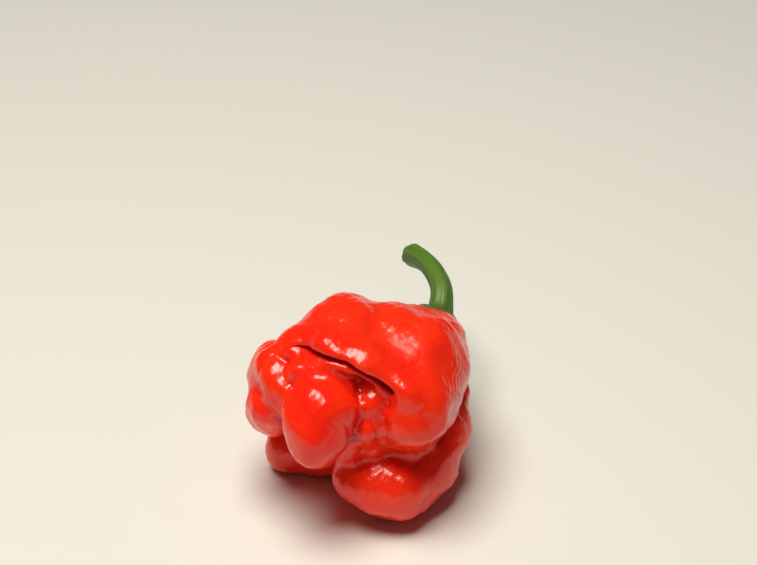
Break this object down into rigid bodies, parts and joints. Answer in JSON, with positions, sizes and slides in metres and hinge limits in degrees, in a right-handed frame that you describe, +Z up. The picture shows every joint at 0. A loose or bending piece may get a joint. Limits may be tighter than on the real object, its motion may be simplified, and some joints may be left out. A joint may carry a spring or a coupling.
{
  "type": "chilli pepper",
  "caption": "Small, deeply folded chilli pepper pod with a green calyx and a curved cut stalk, lying on its side.",
  "frame": {"origin": "on the table, under the middle of the whole pepper's bounding box", "axes": "+Z up, -Y the way the blossom end faces, +Y the way the stalk leaves, +X to the right seen from the blossom end"},
  "size_m": [0.0354, 0.0538, 0.0337],
  "materials": {
    "skin": "glossy waxy skin, orange red where lit and deep red in the folds",
    "stalk": "satin green, pale yellow green round the cut end"
  },
  "bodies": {
    "root": {"pod": "skin", "stalk": "stalk"}
  },
  "joints": []
}
